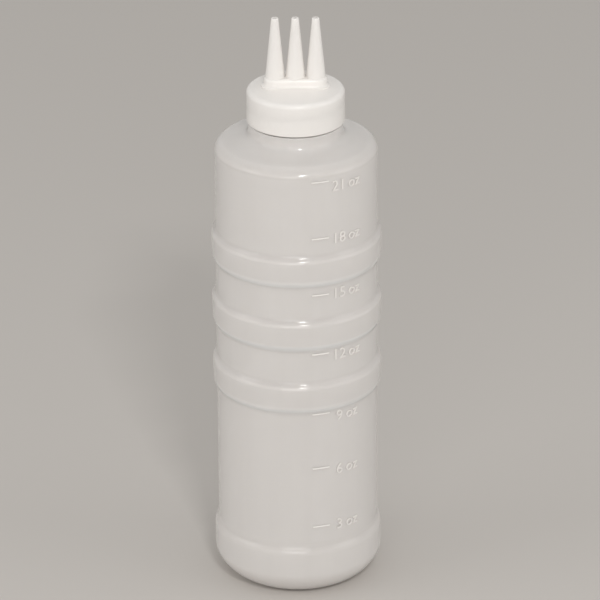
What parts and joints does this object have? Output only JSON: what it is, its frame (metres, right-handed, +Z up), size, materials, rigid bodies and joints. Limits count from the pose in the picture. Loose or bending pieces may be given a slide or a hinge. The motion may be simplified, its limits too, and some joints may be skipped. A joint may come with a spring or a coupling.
{
  "type": "sauce bottle",
  "caption": "Soft squeeze bottle with raised grip bands, volume marks and a screw cap with a row of tapered pouring nozzles.",
  "frame": {"origin": "centre of the bottle's base, on the surface that it stands on", "axes": "+Z up along the bottle's axis, -Y towards the side with the volume marks, the nozzles in a row along X"},
  "size_m": [0.0714, 0.0714, 0.252],
  "materials": {
    "bottle_plastic": "milky translucent low-density polyethylene, satin",
    "cap_plastic": "white polyethylene, satin"
  },
  "bodies": {
    "bottle_body": {"bottle": "bottle_plastic"},
    "cap_body": {"cap": "cap_plastic"}
  },
  "joints": [
    {"name": "cap_lift", "type": "slide", "parent": "bottle_body", "child": "cap_body", "axis": [0, 0, 1], "range_m": [0, 0.05]}
  ]
}
